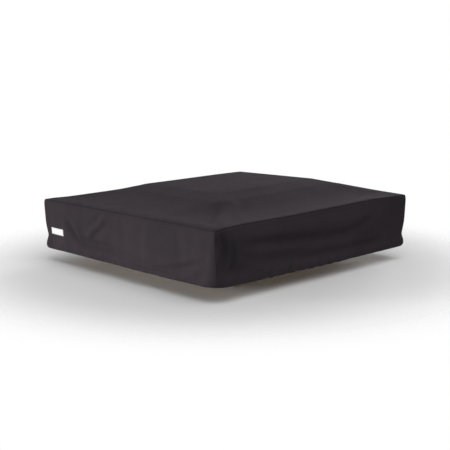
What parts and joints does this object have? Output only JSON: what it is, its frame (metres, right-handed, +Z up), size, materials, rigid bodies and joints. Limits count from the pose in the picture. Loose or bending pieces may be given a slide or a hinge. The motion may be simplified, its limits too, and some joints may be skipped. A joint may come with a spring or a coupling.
{
  "type": "roof top tent",
  "caption": "Folding roof tent closed under a fitted fabric travel cover, with hinged floor, canopy bows, telescopic ladder and clamps for roof load bars.",
  "frame": {"origin": "middle of the footprint at the underside of the clamp jaws", "axes": "+X to the front of the vehicle, +Y to its left, +Z up; the floor unfolds towards -Y"},
  "size_m": [1.17, 1.221, 0.3173],
  "materials": {
    "cover_fabric": "matte coated weave",
    "tag_fabric": "plain woven tag",
    "canopy_fabric": "ripstop canvas",
    "mattress_fabric": "quilted cotton over foam",
    "webbing": "polyester webbing",
    "frame_metal": "black powder coat",
    "bare_aluminium": "mill finish",
    "ladder_aluminium": "clear anodised",
    "steel": "zinc plated",
    "clamp_metal": "black powder coat",
    "black_plastic": "moulded nylon",
    "rung_plastic": "glass-filled nylon",
    "foot_rubber": "matte",
    "board_wood": "birch plywood, oiled"
  },
  "bodies": {
    "base": {"mount_rails": "bare_aluminium", "mount_rail_caps": "black_plastic", "mount_rail_bolts": "steel", "lower_long_rails": "frame_metal", "lower_cross_rails": "frame_metal", "lower_corner_plugs": "black_plastic", "lower_rail_caps": "black_plastic", "lower_board": "board_wood", "lower_hinge_plates": "frame_metal", "lower_hinge_rivets": "steel", "hinge_bolts": "steel", "hinge_nuts": "steel", "lower_mattress": "mattress_fabric", "lower_straps": "webbing", "buckle_sockets": "black_plastic", "folded_canopy": "canopy_fabric", "travel_cover": "cover_fabric", "cover_tag": "tag_fabric"},
    "upper_panel": {"upper_long_rails": "frame_metal", "upper_cross_rails": "frame_metal", "upper_corner_plugs": "black_plastic", "upper_rail_caps": "black_plastic", "upper_board": "board_wood", "upper_hinge_plates": "frame_metal", "upper_hinge_rivets": "steel", "upper_mattress": "mattress_fabric", "upper_straps": "webbing", "buckle_tongues": "black_plastic", "ladder_brackets": "frame_metal", "ladder_pins": "steel", "bracket_screws": "steel"},
    "outer_bow": {"outer_bow": "bare_aluminium"},
    "middle_bow": {"middle_bow": "bare_aluminium"},
    "inner_bow": {"inner_bow": "bare_aluminium"},
    "ladder_section_1": {"ladder_stiles_1": "ladder_aluminium", "ladder_rung_1": "rung_plastic"},
    "ladder_section_2": {"ladder_stiles_2": "ladder_aluminium", "ladder_rung_2": "rung_plastic"},
    "ladder_section_3": {"ladder_stiles_3": "ladder_aluminium", "ladder_rung_3": "rung_plastic"},
    "ladder_section_4": {"ladder_stiles_4": "ladder_aluminium", "ladder_rung_4": "rung_plastic"},
    "ladder_section_5": {"ladder_stiles_5": "ladder_aluminium", "ladder_rung_5": "rung_plastic"},
    "ladder_section_6": {"ladder_stiles_6": "ladder_aluminium", "ladder_rung_6": "rung_plastic", "ladder_feet": "foot_rubber"},
    "front_clamps": {"front_clamp_plates": "clamp_metal", "front_clamp_bolts": "steel"},
    "front_jaws": {"front_clamp_jaws": "clamp_metal", "front_clamp_nuts": "steel"},
    "rear_clamps": {"rear_clamp_plates": "clamp_metal", "rear_clamp_bolts": "steel"},
    "rear_jaws": {"rear_clamp_jaws": "clamp_metal", "rear_clamp_nuts": "steel"}
  },
  "joints": [
    {"name": "floor_fold", "type": "hinge", "parent": "base", "child": "upper_panel", "pos_m": [0, -0.582, 0.1793], "axis": [1, 0, 0], "range_deg": [0, 180], "deforming": ["folded_canopy", "travel_cover", "cover_tag"]},
    {"name": "outer_bow_turn", "type": "hinge", "parent": "base", "child": "outer_bow", "pos_m": [0, -0.582, 0.1793], "axis": [1, 0, 0], "range_deg": [0, 45]},
    {"name": "middle_bow_turn", "type": "hinge", "parent": "base", "child": "middle_bow", "pos_m": [0, -0.582, 0.1793], "axis": [1, 0, 0], "range_deg": [0, 90]},
    {"name": "inner_bow_turn", "type": "hinge", "parent": "base", "child": "inner_bow", "pos_m": [0, -0.582, 0.1793], "axis": [1, 0, 0], "range_deg": [0, 135]},
    {"name": "ladder_swing", "type": "hinge", "parent": "upper_panel", "child": "ladder_section_1", "pos_m": [-0.175, 0.535, 0.2923], "axis": [-1, 0, 0], "range_deg": [0, 105]},
    {"name": "ladder_slide_2", "type": "slide", "parent": "ladder_section_1", "child": "ladder_section_2", "axis": [0, -1, 0], "range_m": [0, 0.26]},
    {"name": "ladder_slide_3", "type": "slide", "parent": "ladder_section_2", "child": "ladder_section_3", "axis": [0, -1, 0], "range_m": [0, 0.26]},
    {"name": "ladder_slide_4", "type": "slide", "parent": "ladder_section_3", "child": "ladder_section_4", "axis": [0, -1, 0], "range_m": [0, 0.26]},
    {"name": "ladder_slide_5", "type": "slide", "parent": "ladder_section_4", "child": "ladder_section_5", "axis": [0, -1, 0], "range_m": [0, 0.26]},
    {"name": "ladder_slide_6", "type": "slide", "parent": "ladder_section_5", "child": "ladder_section_6", "axis": [0, -1, 0], "range_m": [0, 0.26]},
    {"name": "front_clamp_slide", "type": "slide", "parent": "base", "child": "front_clamps", "axis": [1, 0, 0], "range_m": [-0.14, 0.14]},
    {"name": "front_jaw_travel", "type": "slide", "parent": "front_clamps", "child": "front_jaws", "axis": [0, 0, 1], "range_m": [-0.005, 0]},
    {"name": "rear_clamp_slide", "type": "slide", "parent": "base", "child": "rear_clamps", "axis": [1, 0, 0], "range_m": [-0.14, 0.14]},
    {"name": "rear_jaw_travel", "type": "slide", "parent": "rear_clamps", "child": "rear_jaws", "axis": [0, 0, 1], "range_m": [-0.005, 0]}
  ],
  "couplings": [
    {"joint": "outer_bow_turn", "follows": "floor_fold", "ratio": 0.25},
    {"joint": "middle_bow_turn", "follows": "floor_fold", "ratio": 0.5},
    {"joint": "inner_bow_turn", "follows": "floor_fold", "ratio": 0.75},
    {"joint": "ladder_swing", "follows": "floor_fold", "ratio": 0.5833},
    {"joint": "ladder_slide_2", "follows": "floor_fold", "m_per_rad": 0.0827},
    {"joint": "ladder_slide_3", "follows": "floor_fold", "m_per_rad": 0.0827},
    {"joint": "ladder_slide_4", "follows": "floor_fold", "m_per_rad": 0.0827},
    {"joint": "ladder_slide_5", "follows": "floor_fold", "m_per_rad": 0.0827},
    {"joint": "ladder_slide_6", "follows": "floor_fold", "m_per_rad": 0.0827}
  ]
}
